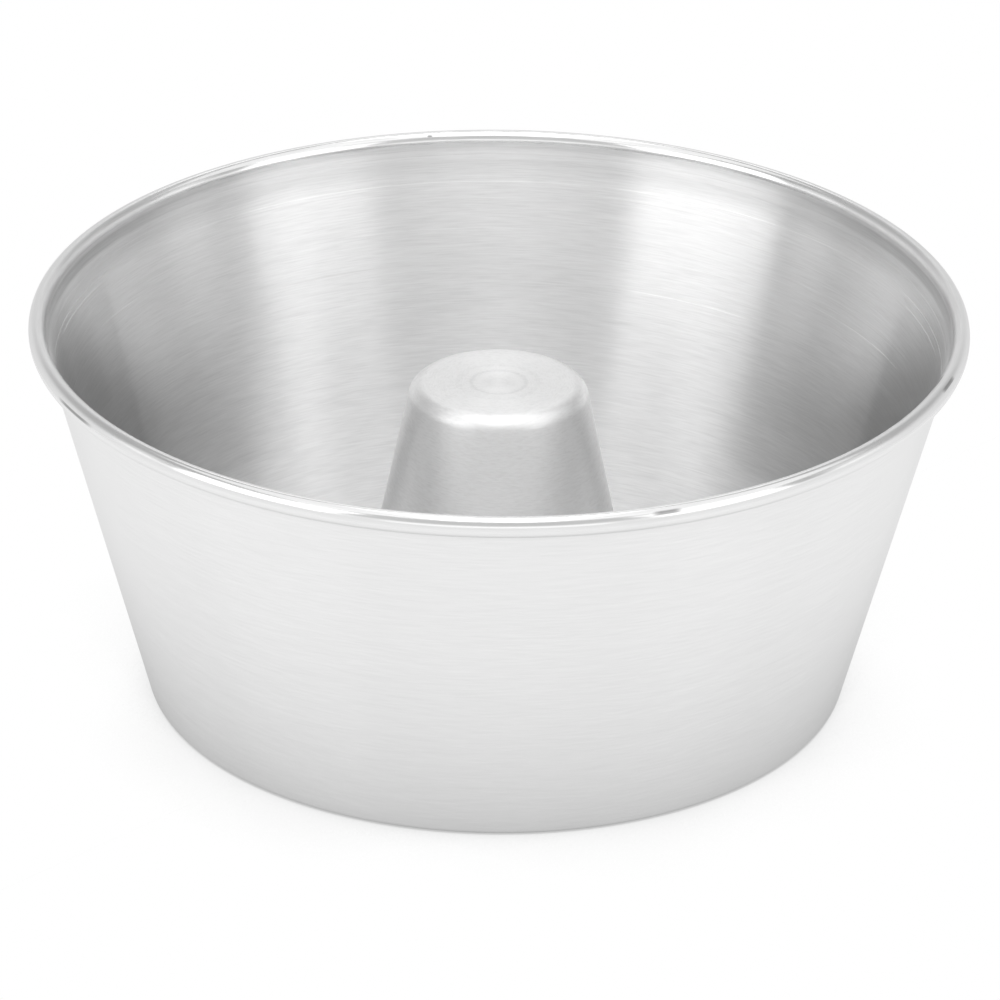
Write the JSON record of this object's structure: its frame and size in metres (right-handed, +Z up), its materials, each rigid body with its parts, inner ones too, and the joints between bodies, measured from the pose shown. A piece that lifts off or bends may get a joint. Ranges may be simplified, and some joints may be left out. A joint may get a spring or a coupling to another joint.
{
  "type": "flan mould",
  "caption": "Round tapered aluminium mould with a rolled rim and a closed centre cone, for flans and puddings that are turned out as a ring.",
  "frame": {"origin": "centre of the base, in the plane that the mould rests on", "axes": "+Z up along the mould's axis; the mould is round, so X and Y may point any way across it"},
  "size_m": [0.22, 0.22, 0.0937],
  "materials": {
    "pan_aluminium": "satin, with fine brushing round the axis",
    "cone_aluminium": "satin, with fine brushing round the axis and a round lathe mark on the top"
  },
  "bodies": {
    "root": {"pan": "pan_aluminium", "centre_cone": "cone_aluminium"}
  },
  "joints": []
}
